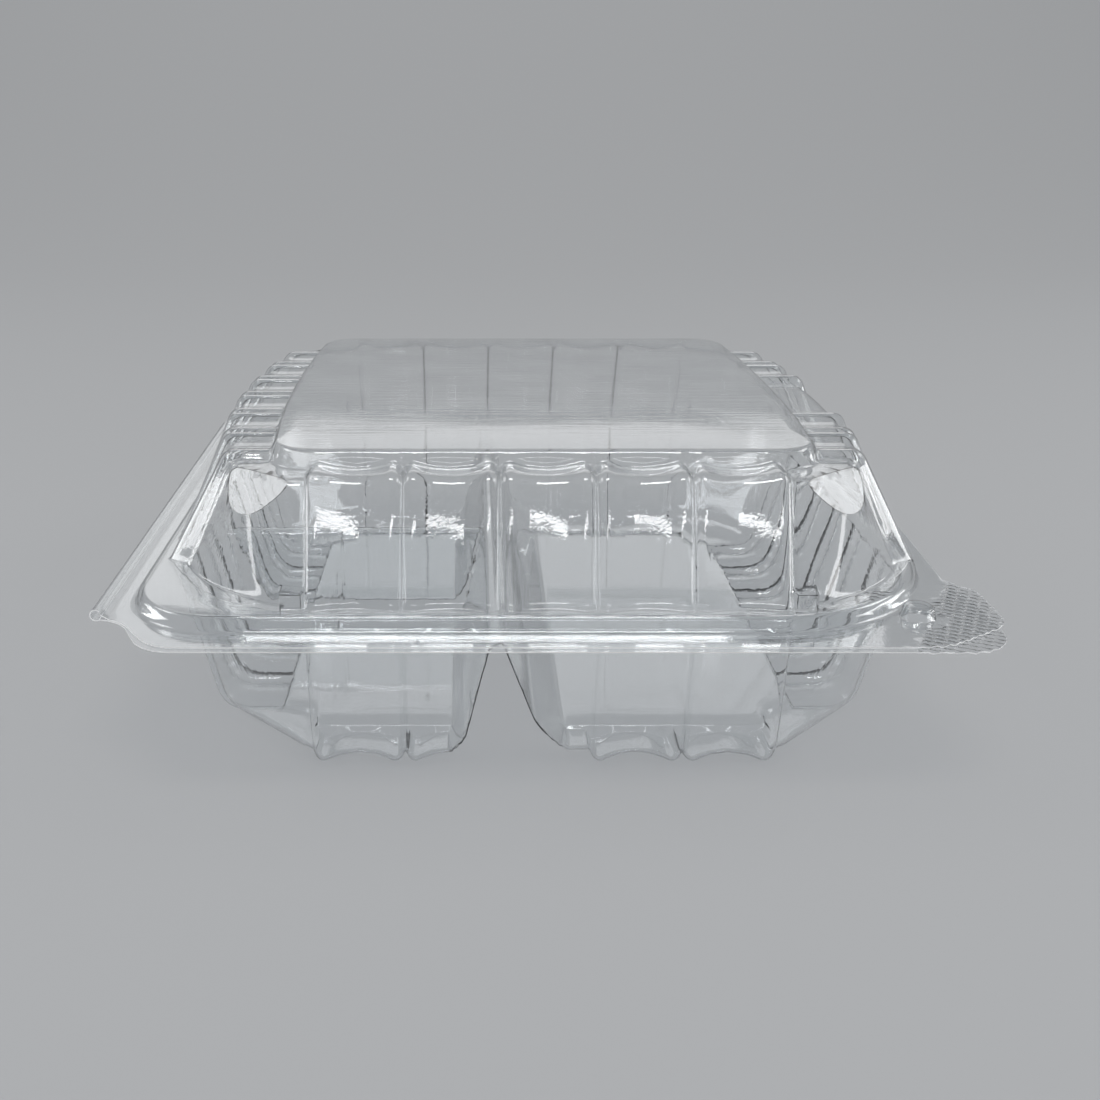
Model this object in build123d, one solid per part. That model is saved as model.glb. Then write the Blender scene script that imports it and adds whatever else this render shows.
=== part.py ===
from build123d import *
import math
import os

os.makedirs("parts", exist_ok=True)

# All sizes are in millimetres. X runs from the hinge to the finger tabs, Y runs away from the
# viewer and Z is up. The pack stands on Z 0 and the middle of its whole width is X 0.

# Sheet and fits
sheet = 0.3
fit_gap = 0.3
middle_x = 0.7

# Heights
seam_height = 38.9
ring_rise = 3.9
shelf_height = 69.5
pack_height = 74.0

# Flanges
hinge_x = -106.0
lid_edge_y = 102.4
base_edge_y = 104.0
hinge_corner_y = 85.0
hinge_corner_x = -88.0
flange_right = 100.3
flange_bow = 2.4
lid_tab_reach = 106.0
base_tab_reach = 103.6

# Seal ring round the mouth
ring_left = -97.6
ring_right = 96.6
ring_half_y = 94.8
ring_draft = 1.4
ring_hinge_corner = 22.0
ring_tab_corner = 45.0

# Lid dome: half widths from its own middle, how far the sides bow, and corner radii
dome_foot_x = 93.2
dome_foot_y = 89.1
dome_foot_bow = 4.1
dome_foot_corner = 42.0
dome_top_x = 82.4
dome_top_y = 77.0
dome_top_bow = 10.6
dome_top_corner = 6.0
corner_strips = 5
shoulder_break = 2.6

# Raised top panel
panel_x = 69.0
panel_y = 68.8
panel_bow = 3.4
panel_draft = 1.3
panel_corner = 9.0
panel_edge = 1.2

# Flat facets that cut the lid's corners
facet_near = (58.8, 76.9)
facet_side = (75.4, 64.2)
facet_tilt = 43.0

# Ribs
rib_rise = 1.9
rib_saddle = 0.5
rib_notch = 0.25
rib_root = 1.6
crest_inset = 2.5
crest_flat = 1.6
saddle_flat = 7.0
near_pitch = 22.4
near_count = 5
side_pitch = 20.0
side_count = 6

# Small lugs that keep nested lids from jamming
lug_width = 5.8
lug_height = 5.4
lug_front_y = 90.0

# Tray
tray_top_x = 91.6
tray_top_y = 91.0
tray_top_bow = 1.0
tray_top_corner = 40.0
tray_strips = 3
tray_floor_x = 81.0
tray_floor_y = 86.6
tray_floor_cut = 24.0
tray_cut_radius = 14.0
tray_break = 6.6
tray_rib_top = 38.2
foot_run = 9.0

# Dividers
ridge_x = -11.2
ridge_height = 34.0
cross_ridge_height = 29.8

# Lock buttons at the tab corners
button_x = 86.6
button_y = 85.6
button_radius = 3.9
button_rise = 3.0

# Fold bead along the hinge
bead_radius = 1.3
bead_half_length = 84.0

# Sizes that follow from those above
lid_top = seam_height + sheet
ring_top = seam_height + ring_rise
base_ring_top = ring_top - sheet - fit_gap
floor_height = rib_rise
near_half = near_count * near_pitch / 2
side_half = side_count * side_pitch / 2


def soft_polygon(points, flat=False):
    """A flat face from corners given as x, y and rounding radius, or with flats for the roundings."""
    count = len(points)
    ends = []
    arcs = []
    for k in range(count):
        corner = Vector(points[k][0], points[k][1])
        before = Vector(points[k - 1][0], points[k - 1][1])
        after = Vector(points[(k + 1) % count][0], points[(k + 1) % count][1])
        radius = points[k][2]
        inward = (before - corner).normalized()
        onward = (after - corner).normalized()
        half = math.acos(max(-1, min(1, inward.dot(onward)))) / 2
        reach = radius / math.tan(half)
        first = corner + inward * reach
        last = corner + onward * reach
        bisector = (inward + onward).normalized()
        middle = corner + bisector * (radius / math.sin(half) - radius)
        ends.append((first, last))
        if radius == 0:
            arcs.append(None)
            continue
        turn = Line(first, last) if flat else ThreePointArc(first, middle, last)
        arcs.append(turn)
    edges = []
    for k in range(count):
        if arcs[k] is not None:
            edges.append(arcs[k])
        edges.append(Line(ends[k][1], ends[(k + 1) % count][0]))
    return make_face(edges)


def bow_depth(half_y, bow, y):
    """How far a bowed side has come in at y, for a bow reached at half_y."""
    radius = (half_y**2 + bow**2) / (2 * bow)
    return radius - math.sqrt(radius**2 - y**2)


def bowed_outline(half_x, half_y, bow, corner, height, strips=0):
    """A rounded rectangle about the dome's middle whose left and right sides bow outwards.

    With strips, each round corner is that many flat strips."""
    left_end = middle_x - half_x + bow
    right_end = middle_x + half_x - bow
    near = Line((left_end, -half_y), (right_end, -half_y))
    right = ThreePointArc((right_end, -half_y), (middle_x + half_x, 0), (right_end, half_y))
    far = Line((right_end, half_y), (left_end, half_y))
    left = ThreePointArc((left_end, half_y), (middle_x - half_x, 0), (left_end, -half_y))
    face = make_face([near, right, far, left])
    face = fillet(face.vertices(), corner)
    if strips > 0:
        edges = []
        for edge in face.edges():
            turning = edge.geom_type == GeomType.CIRCLE and edge.radius < 2 * corner
            stops = [edge @ (k / strips) for k in range(strips + 1)]
            edges.append(Polyline(*stops) if turning else edge)
        face = make_face(edges)
    return Pos(0, 0, height) * face


def set_in(points, inset):
    """The points of a bent line, moved to its right hand side by inset."""
    normals = []
    for start, end in zip(points, points[1:]):
        along = Vector(end[0] - start[0], end[1] - start[1]).normalized()
        normals.append(Vector(along.Y, -along.X))
    normals = [normals[0]] + normals + [normals[-1]]
    moved = []
    for k, point in enumerate(points):
        both = normals[k] + normals[k + 1]
        shift = both * (inset / (1 + normals[k].dot(normals[k + 1])))
        moved.append((point[0] + shift.X, point[1] + shift.Y))
    return moved


def rib_section(count, pitch, inset):
    """The folded line across a group of ribs, closed below the smooth wall.

    Each rib is two narrow crests with a shallow saddle between them, and a sharp notch parts it
    from the next."""
    half = count * pitch / 2
    crest = crest_flat / 2
    saddle = saddle_flat / 2
    points = [(-half, -rib_root), (-half, rib_notch)]
    for k in range(count):
        left = -half + k * pitch
        middle = left + pitch / 2
        right = left + pitch
        points += [(left + crest_inset - crest, rib_rise), (left + crest_inset + crest, rib_rise)]
        points += [(middle - saddle, rib_saddle), (middle + saddle, rib_saddle)]
        points += [(right - crest_inset - crest, rib_rise), (right - crest_inset + crest, rib_rise)]
        points.append((right, rib_notch))
    points.append((half, -rib_root))
    points = set_in(points, inset)
    return make_face(Polyline(*points, close=True))


def rib_group(count, pitch, bend, break_run, inset):
    """Ribs on a wall that faces the viewer, carried along a bent line given as y and z.

    The line's one corner is broken by a short run between two mitres."""
    first, corner, last = [Vector(0, y, z) for y, z in bend]
    before = corner + (first - corner).normalized() * break_run
    after = corner + (last - corner).normalized() * break_run
    path = Polyline(first, before, after, last)
    rising = (path % 0).Z > 0
    start = Plane(origin=first, x_dir=(-1 if rising else 1, 0, 0), z_dir=path % 0)
    return sweep(start * rib_section(count, pitch, inset), path=path, transition=Transition.RIGHT)


def around(wall_x, y, turn, solid):
    """Places ribs made for the viewer's side on a side wall, turned to follow its bow."""
    left = Pos(middle_x - wall_x, y, 0) * Rot(0, 0, -90 - turn) * solid
    right = Pos(middle_x + wall_x, y, 0) * Rot(0, 0, 90 + turn) * solid
    return left, right


def ring_block(inset, bottom, top):
    """The seal ring as a solid block with leaning sides."""
    sections = []
    for lean, height in ((0, bottom), (ring_draft, top)):
        d = inset + lean
        corners = [
            (ring_left + d, -ring_half_y + d, ring_hinge_corner - d),
            (ring_right - d, -ring_half_y + d, ring_tab_corner - d),
            (ring_right - d, ring_half_y - d, ring_tab_corner - d),
            (ring_left + d, ring_half_y - d, ring_hinge_corner - d),
        ]
        sections.append(Pos(0, 0, height) * soft_polygon(corners))
    return loft(sections, ruled=True)


def button(radius, bottom, top):
    """A pair of lock buttons, as solids."""
    post = Pos(0, 0, bottom) * extrude(Circle(radius), top - bottom)
    return Pos(button_x, -button_y, 0) * post + Pos(button_x, button_y, 0) * post


def fold_bead(upper):
    """Half of the rolled fold: the upper half belongs to the lid and the lower half to the tray."""
    side = 1 if upper else -1
    centre_x = hinge_x + bead_radius
    outer = bead_radius
    inner = bead_radius - sheet
    face = make_face(
        [
            ThreePointArc((centre_x - outer, 0), (centre_x, side * outer), (centre_x + outer, 0)),
            Line((centre_x + outer, 0), (centre_x + inner, 0)),
            ThreePointArc((centre_x + inner, 0), (centre_x, side * inner), (centre_x - inner, 0)),
            Line((centre_x - inner, 0), (centre_x - outer, 0)),
        ]
    )
    upright = Plane(origin=(0, bead_half_length, seam_height), x_dir=(1, 0, 0), z_dir=(0, -1, 0))
    return extrude(upright * face, 2 * bead_half_length)


def dome_form(inset):
    """The dome with its ribs, facets, lugs and raised panel, as a solid set in by inset."""
    foot_height = ring_top - sheet / 2 - inset * 1.5
    shelf = shelf_height - inset
    foot = bowed_outline(
        dome_foot_x - inset,
        dome_foot_y - inset,
        dome_foot_bow,
        dome_foot_corner - inset,
        foot_height,
        corner_strips,
    )
    top = bowed_outline(
        dome_top_x - inset,
        dome_top_y - inset,
        dome_top_bow,
        dome_top_corner - inset,
        shelf,
        corner_strips,
    )
    dome = loft([foot, top], ruled=True)
    for turn_x in (-1, 1):
        for turn_y in (-1, 1):
            near = Vector(middle_x + turn_x * facet_near[0], turn_y * facet_near[1], shelf_height)
            side = Vector(middle_x + turn_x * facet_side[0], turn_y * facet_side[1], shelf_height)
            along = (side - near).normalized()
            outward = Vector(turn_x * abs(along.Y), turn_y * abs(along.X), 0)
            lean = math.radians(facet_tilt)
            normal = outward * math.cos(lean) + Vector(0, 0, 1) * math.sin(lean)
            plane = Plane(origin=near - normal * inset, z_dir=normal)
            dome = split(dome, bisect_by=plane, keep=Keep.BOTTOM)
    rim = dome.faces().sort_by(Axis.Z)[-1].edges()
    shoulders = [edge for edge in rim if max(abs((edge % 0.5).X), abs((edge % 0.5).Y)) > 0.95]
    dome = chamfer(shoulders, shoulder_break)
    bend = [(-dome_foot_y, foot_height), (-dome_top_y, shelf_height), (-panel_y + 3, shelf_height)]
    near_ribs = Pos(middle_x, 0, 0) * rib_group(near_count, near_pitch, bend, shoulder_break, inset)
    pieces = [near_ribs, mirror(near_ribs, Plane.XZ)]
    for k in range(side_count):
        y = -side_half + side_pitch * (k + 0.5)
        top_in = bow_depth(dome_top_y, dome_top_bow, y)
        foot_in = bow_depth(dome_foot_y, dome_foot_bow, y)
        run = dome_foot_x - foot_in - dome_top_x + top_in
        reach = dome_top_x - top_in - panel_x + bow_depth(panel_y, panel_bow, y) + 3
        bend = [(-run, foot_height), (0, shelf_height), (reach, shelf_height)]
        turn = math.degrees(math.atan2(2 * top_in, y)) if y else 0
        turn = turn - 180 if turn > 90 else turn
        rib = rib_group(1, side_pitch, bend, shoulder_break, inset)
        left, right = around(dome_top_x - top_in, y, turn * 0.7, rib)
        pieces.append(left)
        if abs(y) > side_pitch:
            pieces.append(right)
    for lug_x in (-near_half - lug_width / 2, near_half + lug_width / 2):
        for turn_y in (-1, 1):
            width = lug_width - 2 * inset
            depth = 8.0
            height = lug_height - inset
            block = Box(width, depth, height, align=(Align.CENTER, Align.CENTER, Align.MIN))
            y = turn_y * (lug_front_y - inset - depth / 2)
            pieces.append(Pos(middle_x + lug_x, y, foot_height) * block)
    low = bowed_outline(panel_x - inset, panel_y - inset, panel_bow, panel_corner - inset, shelf - 1)
    high = bowed_outline(
        panel_x - panel_draft - inset,
        panel_y - panel_draft - inset,
        panel_bow,
        panel_corner - inset,
        pack_height - inset,
    )
    panel = loft([low, high], ruled=True)
    panel = chamfer(panel.faces().sort_by(Axis.Z)[-1].edges(), panel_edge)
    dome = dome.fuse(panel, *pieces)
    return split(dome, bisect_by=Plane(origin=(0, 0, foot_height)), keep=Keep.TOP)


def tray_form(inset):
    """The tray with its ribs and feet and the two hollow dividers, as a solid set in by inset."""
    top_height = base_ring_top - sheet / 2 + inset * 2
    floor = floor_height + inset
    top = bowed_outline(
        tray_top_x - inset,
        tray_top_y - inset,
        tray_top_bow,
        tray_top_corner - inset,
        top_height,
        tray_strips,
    )
    floor_x = tray_floor_x - inset
    floor_y = tray_floor_y - inset
    cut = tray_floor_cut - 0.6 * inset
    corner = tray_cut_radius - inset
    quarter = [(floor_x, floor_y - cut, corner), (floor_x - cut, floor_y, corner)]
    quarter += [(cut - floor_x, floor_y, corner), (-floor_x, floor_y - cut, corner)]
    half = [(-x, -y, r) for x, y, r in quarter]
    low = Pos(middle_x, 0, floor) * soft_polygon(quarter + half, flat=True)
    tray = loft([low, top], ruled=True)
    tray = chamfer(tray.faces().sort_by(Axis.Z)[0].edges(), tray_break)
    rib_top = tray_rib_top - inset
    drop = (tray_top_y - tray_floor_y) * (rib_top - floor_height) / (base_ring_top - floor_height)
    run_in = foot_run + tray_break - inset
    bend = [
        (-tray_floor_y - drop, rib_top),
        (-tray_floor_y, floor_height),
        (-tray_floor_y + run_in, floor_height),
    ]
    pair = rib_group(2, near_pitch, bend, tray_break, inset)
    pieces = []
    for pair_x in (middle_x - near_pitch * 1.5, middle_x + near_pitch * 1.5):
        placed = Pos(pair_x, 0, 0) * pair
        pieces += [placed, mirror(placed, Plane.XZ)]
    drop = (tray_top_x - tray_floor_x) * (rib_top - floor_height) / (base_ring_top - floor_height)
    bend = [(-drop, rib_top), (0, floor_height), (run_in, floor_height)]
    side_ribs = rib_group(side_count, side_pitch, bend, tray_break, inset)
    pieces += around(tray_floor_x, 0, 0, side_ribs)
    tray = tray.fuse(*pieces)
    main_gap = soft_polygon(
        [
            (ridge_x - 14.5, -3, 0),
            (ridge_x - 7.1, 8.2, 5),
            (ridge_x - 1.5, ridge_height, 1.4),
            (ridge_x + 1.5, ridge_height, 1.4),
            (ridge_x + 9.6, 12, 12),
            (ridge_x + 23.0, -3, 0),
        ]
    )
    cross_gap = soft_polygon(
        [
            (-12.5, -3, 0),
            (-7.5, 6, 6),
            (-2.4, cross_ridge_height, 2.2),
            (2.4, cross_ridge_height, 2.2),
            (7.5, 6, 6),
            (12.5, -3, 0),
        ]
    )
    if inset > 0:
        main_gap = offset(main_gap, inset)
        cross_gap = offset(cross_gap, inset)
    main_hollow = extrude(Plane(origin=(0, 110, 0), x_dir=(1, 0, 0), z_dir=(0, -1, 0)) * main_gap, 220)
    cross_hollow = extrude(Plane(origin=(-115, 0, 0), x_dir=(0, 1, 0), z_dir=(1, 0, 0)) * cross_gap, 101)
    return tray - main_hollow - cross_hollow


def flange_outline(edge_y, tab):
    """The plan of a flange. Tab lists the corner points of one finger tab, near edge first."""
    left = hinge_x + 2 * bead_radius - sheet / 2
    near = [(left, -hinge_corner_y, 4), (hinge_corner_x, -edge_y, 14)] + tab
    far = [(x, -y, r) for x, y, r in reversed(near)]
    bow = [(flange_right + flange_bow, 0, 400)]
    return soft_polygon(near + bow + far)


# Lid
lid_tab = [
    (88.0, -lid_edge_y, 12),
    (lid_tab_reach, -90.4, 8),
    (lid_tab_reach, -70.5, 3),
    (flange_right, -64.5, 4),
]
lid_flange = Pos(0, 0, seam_height) * extrude(flange_outline(lid_edge_y, lid_tab), sheet)
lid = lid_flange + ring_block(0, seam_height, ring_top)
lid = lid - ring_block(sheet, seam_height, ring_top - sheet)
lid = lid + button(button_radius, seam_height, lid_top + button_rise)
lid = lid - button(button_radius - sheet, seam_height, lid_top + button_rise - sheet)
lid = lid + dome_form(0)
lid = lid - dome_form(sheet)
lid = lid + fold_bead(True)

# Tray
base_tab = [
    (base_tab_reach, -base_edge_y, 11),
    (base_tab_reach, -76.0, 4),
    (flange_right, -66.0, 4),
]
base_flange = Pos(0, 0, seam_height - sheet) * extrude(flange_outline(base_edge_y, base_tab), sheet)
tray_ring = sheet + fit_gap
tray = base_flange + ring_block(tray_ring, seam_height - sheet, base_ring_top)
tray = tray - ring_block(tray_ring + sheet, seam_height - sheet, base_ring_top - sheet)
head = lid_top + button_rise - sheet - fit_gap
tray = tray + button(button_radius - tray_ring, seam_height - sheet, head)
tray = tray - button(button_radius - tray_ring - sheet, seam_height - sheet, head - sheet)
tray = tray + tray_form(0)
tray = tray - tray_form(sheet)
tray = tray + fold_bead(False)

export_step(lid, "parts/lid.step")
export_step(tray, "parts/tray.step")
print("lid", len(lid.solids()), lid.is_valid, round(lid.volume), lid.bounding_box())
print("tray", len(tray.solids()), tray.is_valid, round(tray.volume), tray.bounding_box())
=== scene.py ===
# %% [markdown]
# # A clear clamshell pack
# This lesson dresses a hinged food pack that is thermoformed from one clear plastic sheet.
# A CAD model gives the true sizes, the two halves and the hinge. Blender gives the looks.
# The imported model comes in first, and every piece below is made in its frame.

# %% Load the frame
import math
import bmesh
import bpy
import numpy as np
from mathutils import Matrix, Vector


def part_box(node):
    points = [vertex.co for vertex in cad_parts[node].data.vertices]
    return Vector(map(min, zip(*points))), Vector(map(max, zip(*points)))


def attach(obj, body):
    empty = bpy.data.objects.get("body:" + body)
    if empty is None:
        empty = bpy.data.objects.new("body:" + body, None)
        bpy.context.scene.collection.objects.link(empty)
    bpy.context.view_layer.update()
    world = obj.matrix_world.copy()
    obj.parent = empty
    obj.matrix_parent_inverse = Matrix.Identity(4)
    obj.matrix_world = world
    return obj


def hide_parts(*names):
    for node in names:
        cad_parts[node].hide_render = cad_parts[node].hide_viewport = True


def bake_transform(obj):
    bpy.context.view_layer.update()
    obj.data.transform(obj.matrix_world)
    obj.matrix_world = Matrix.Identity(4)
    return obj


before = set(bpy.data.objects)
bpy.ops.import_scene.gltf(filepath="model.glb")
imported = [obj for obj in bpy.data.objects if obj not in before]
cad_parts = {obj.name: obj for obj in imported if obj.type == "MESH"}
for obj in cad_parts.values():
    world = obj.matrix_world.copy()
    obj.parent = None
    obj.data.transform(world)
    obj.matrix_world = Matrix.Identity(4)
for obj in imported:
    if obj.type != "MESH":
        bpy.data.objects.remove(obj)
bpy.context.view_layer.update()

# %% [markdown]
# ## Sizes
# The pack is drawn in millimetres, as its maker would, and each mesh is scaled to metres last.
# Lengths that the CAD model already fixes are read from its boxes, so the two can't drift apart.
# The visible sheet is a little thinner than the real one, so that the two flanges, which lie face
# to face, keep a hair of air between them and the light doesn't see two surfaces in one place.

# %% Sizes in millimetres
MM = 0.001
lid_low, lid_high = (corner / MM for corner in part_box("lid"))
tray_low, tray_high = (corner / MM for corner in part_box("tray"))
SHEET = 0.26
MIDDLE_X = 0.7
SEAM = lid_low.z
PACK_TOP = lid_high.z
HINGE_X = lid_low.x
RING_TOP = SEAM + 3.9
SHELF = PACK_TOP - 4.5
LID_FACE = SEAM + 0.3
TRAY_FACE = SEAM - 0.3
FLOOR = 2.13
print("seam", round(SEAM, 2), "top", round(PACK_TOP, 2), "hinge", round(HINGE_X, 2))

# %% [markdown]
# ## Outlines, a quarter at a time
# Seen from above, every edge of the pack is a rounded rectangle, and its near and far halves
# mirror each other. So an outline is drawn for one quarter only, from the middle of the near side
# round the corner to the middle of a side wall. Points are given as the distance from the pack's
# two middle lines. A curve modifier could draw the same lines, but then the meshes could not
# share columns.

# %% Quarter outlines


def soft_path(corners):
    """A bent line through corners given as x, y and rounding radius, as closely set points."""
    points = []
    for k, (x, y, radius) in enumerate(corners):
        here = np.array([x, y])
        if radius == 0 or k in (0, len(corners) - 1):
            points.append(here)
            continue
        back = np.array(corners[k - 1][:2]) - here
        ahead = np.array(corners[k + 1][:2]) - here
        back = back / np.linalg.norm(back)
        ahead = ahead / np.linalg.norm(ahead)
        half = math.acos(np.clip(back @ ahead, -1, 1)) / 2
        reach = radius / math.tan(half)
        points += bend(here + back * reach, here, here + ahead * reach)
    return np.array(points)


def bend(start, corner, end, count=16):
    """Points of a rounded corner from start to end, close to an arc."""
    pull = 0.5523
    first = start + (corner - start) * pull
    last = end + (corner - end) * pull
    arc = []
    for t in np.linspace(0, 1, count):
        s = 1 - t
        arc.append(s**3 * start + 3 * s * s * t * first + 3 * s * t * t * last + t**3 * end)
    return arc


def bow_depth(half_y, bow, y):
    """How far a side that bows outwards has come in at y."""
    radius = (half_y**2 + bow**2) / (2 * bow)
    return radius - np.sqrt(radius**2 - y**2)


def bowed_path(half_x, half_y, bow, corner):
    """A quarter of a rounded rectangle whose side wall bows outwards."""
    tip = np.array([half_x - bow, half_y])
    side_y = np.linspace(half_y - corner, 0, 60)
    side_x = half_x - bow_depth(half_y, bow, side_y)
    side = np.column_stack([side_x, side_y])
    corner_points = bend(tip - np.array([corner, 0]), tip, side[0], 30)
    return np.vstack([[(0, half_y)], corner_points, side[1:]])


def on_path(path, near_stops, corner_count, side_stops):
    """One point of the path for each mesh column, from the near middle to the side middle."""
    near_y = np.interp(near_stops, path[:, 0], path[:, 1])
    side_x = np.interp(side_stops, path[::-1, 1], path[::-1, 0])
    keep = (path[:, 0] > near_stops[-1]) & (path[:, 1] > side_stops[0])
    start = np.array([near_stops[-1], near_y[-1]])
    end = np.array([side_x[0], side_stops[0]])
    corner = np.vstack([start, path[keep], end])
    length = np.concatenate([[0], np.cumsum(np.linalg.norm(np.diff(corner, axis=0), axis=1))])
    at = np.linspace(0, length[-1], corner_count + 2)[1:-1]
    turned = np.column_stack([np.interp(at, length, corner[:, axis]) for axis in (0, 1)])
    near = np.column_stack([near_stops, near_y])
    side = np.column_stack([side_x, side_stops])
    return np.vstack([near, turned, side])


print("a quarter of the dome's foot has", len(bowed_path(93.2, 89.1, 4.1, 42)), "points")

# %% [markdown]
# ## Ribs
# Thin sheet is stiff only where it is curved, so the walls are folded into ribs: two soft crests
# with a shallow saddle between them, and a sharp notch before the next rib. The section below is
# arcs that meet smoothly. Mesh columns are set where the section turns most, so few are needed.

# %% Rib section
RIB_RISE = 1.9
RIB_SADDLE = 0.5
RIB_NOTCH = 0.25
CREST_INSET = 2.5
NEAR_PITCH = 22.4
SIDE_PITCH = 20.0
NEAR_HALF = 2.5 * NEAR_PITCH
SIDE_HALF = 3 * SIDE_PITCH


def rib_height(along, pitch):
    """Height of the rib section at a distance along the wall, measured from a notch."""
    q = np.mod(along, pitch)
    q = np.minimum(q, pitch - q)
    climb = RIB_RISE - RIB_NOTCH
    crest = (CREST_INSET**2 + climb**2) / (2 * climb)
    span = pitch / 2 - CREST_INSET
    dip = RIB_RISE - RIB_SADDLE
    centres = (span**2 + dip**2) / (2 * dip)
    saddle = centres - crest
    join = CREST_INSET + crest * span / centres
    on_crest = RIB_RISE - crest + np.sqrt(np.maximum(crest**2 - (q - CREST_INSET) ** 2, 0))
    on_saddle = RIB_SADDLE + saddle - np.sqrt(np.maximum(saddle**2 - (pitch / 2 - q) ** 2, 0))
    return np.where(q < join, on_crest, on_saddle)


def rib_stops(count, pitch, start):
    """Column places over a number of half ribs, the first starting at a notch or at a middle."""
    half = np.array([0, 0.3, 0.9, 1.7, 2.5, 3.3, 4.4, 6.8])
    from_notch = np.append(half, pitch / 2)
    from_middle = pitch / 2 - from_notch[::-1]
    stops = [0.0]
    for k in range(count):
        run = from_notch if (k % 2 == 0) == (start == "notch") else from_middle
        stops += list(k * pitch / 2 + run[1:])
    return np.array(stops)


rib_samples = np.array([0, 1, CREST_INSET, 5, NEAR_PITCH / 2])
print("rib from notch to middle", np.round(rib_height(rib_samples, NEAR_PITCH), 2))

# %% [markdown]
# ## Shells from stations
# A formed wall is a set of bands: flange, ring, platform, wall, shelf, panel. Each edge between two
# bands is a station, a closed line with one point per column. Rows of points run straight from one
# station to the next, and each station is rounded with a soft bend. A grid from bmesh is laid over
# those rows and closed round its seam, which gives clean quads that follow every wall.

# %% Shell maker


def whole(tab_quarter, hinge_quarter):
    """A closed line round the pack from its two near quarters, each an array of x, y and z."""
    tab = tab_quarter * (1, -1, 1) + (MIDDLE_X, 0, 0)
    hinge = hinge_quarter * (-1, -1, 1) + (MIDDLE_X, 0, 0)
    flip = np.array([1, -1, 1])
    loops = [tab[:-1], (tab * flip)[:0:-1], (hinge * flip)[:-1], hinge[:0:-1]]
    return np.vstack(loops)


def rows_between(stations):
    """Rows of points through stations, each given as points, rounding and rows to the next."""
    rows = []
    count = len(stations)
    leave = stations[0][0]
    for k in range(1, count):
        points, soft, steps = stations[k]
        before = points - stations[k - 1][0]
        reach = np.linalg.norm(before, axis=1, keepdims=True)
        arrive = points
        if k < count - 1 and soft > 0:
            arrive = points - before * np.minimum(soft / np.maximum(reach, 1e-6), 0.48)
        steps_here = stations[k - 1][2]
        rows += [leave + (arrive - leave) * t for t in np.linspace(0, 1, steps_here + 1)[:-1]]
        leave = points
        if k < count - 1 and soft > 0:
            after = stations[k + 1][0] - points
            ahead = np.linalg.norm(after, axis=1, keepdims=True)
            depart = points + after * np.minimum(soft / np.maximum(ahead, 1e-6), 0.48)
            turns = 7 if soft > 2 else 4
            for t in np.linspace(0, 1, turns)[:-1]:
                rows.append((1 - t) ** 2 * arrive + 2 * t * (1 - t) * points + t * t * depart)
            leave = depart
    rows.append(stations[-1][0])
    return np.array(rows)


def shell_mesh(rows):
    """A bmesh grid laid over the rows, closed round its seam and at its middle."""
    bm = bmesh.new()
    row_count, column_count = rows.shape[:2]
    bmesh.ops.create_grid(bm, x_segments=column_count, y_segments=row_count - 1, size=0.5)
    bm.verts.ensure_lookup_table()
    closed = np.concatenate([rows, rows[:, :1]], axis=1).reshape(-1, 3)
    for vert, place in zip(bm.verts, closed):
        vert.co = place
    bmesh.ops.remove_doubles(bm, verts=bm.verts, dist=0.002)
    bmesh.ops.dissolve_degenerate(bm, edges=bm.edges, dist=0.001)
    return bm


def face_outwards(bm, upward):
    """Turns every face of a shell to its outer side: up at the top of a lid, down under a tray."""
    bmesh.ops.recalc_face_normals(bm, faces=bm.faces)
    turn = 1 if upward else -1
    outermost = max(bm.faces, key=lambda face: turn * face.calc_center_median().z)
    if outermost.normal.z * turn < 0:
        bmesh.ops.reverse_faces(bm, faces=bm.faces)


def finish_piece(name, bm, materials, body=None, sharp=38):
    """Scales a bmesh to metres and makes it a piece that rides on a body, if one is named."""
    bmesh.ops.scale(bm, vec=(MM, MM, MM), verts=bm.verts)
    for edge in bm.edges:
        crisp = not edge.is_manifold or edge.calc_face_angle() > math.radians(sharp)
        edge.smooth = edge.smooth and not crisp
    for face in bm.faces:
        face.smooth = True
    mesh = bpy.data.meshes.new(name)
    bm.to_mesh(mesh)
    bm.free()
    for material in materials:
        mesh.materials.append(material)
    piece = bpy.data.objects.new(name, mesh)
    bpy.context.scene.collection.objects.link(piece)
    if body:
        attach(piece, body)
    print(name, len(mesh.vertices), "vertices", len(mesh.polygons), "faces")
    return piece


def give_sheet(piece):
    """Gives a shell the thickness of the sheet, with the cut edge in the second finish."""
    wall = piece.modifiers.new("sheet", "SOLIDIFY")
    wall.thickness = SHEET * MM
    wall.offset = -1
    wall.material_offset_rim = 1


# %% [markdown]
# ## The clear sheet
# PET is as clear as glass, with a refractive index of 1.575. Formed sheet is never quite even: it
# has a slow ripple from the heat, fine draw lines, a grain that breaks highlights up and specks of
# dust. One node group makes that relief, and both finishes use it. The trimmed edge is a rough cut
# that scatters light, and it is given a painted glow, an emission that stands in for the light the
# sheet gathers and lets out there, so it looks white.
# Lamps have to reach the floor through the sheet. Glass in Blender would block them, so rays from
# lamps, and rays that the floor sends back, pass straight through it.

# %% Relief of formed sheet
RIPPLE_SCALE = 55
DRAW_STRETCH = (40, 900, 40)
GRAIN_SCALE = 1300
DUST_SCALE = 110
DUST_SIZE = 0.03


def weighted(tree, value, weight, onto=None):
    """A math node that multiplies a value by a weight and adds the result to what came before."""
    node = tree.nodes.new("ShaderNodeMath")
    node.operation = "MULTIPLY_ADD"
    tree.links.new(value, node.inputs[0])
    tree.links.new(weight, node.inputs[1])
    node.inputs[2].default_value = 0
    if onto:
        tree.links.new(onto, node.inputs[2])
    return node.outputs["Value"]


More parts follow.
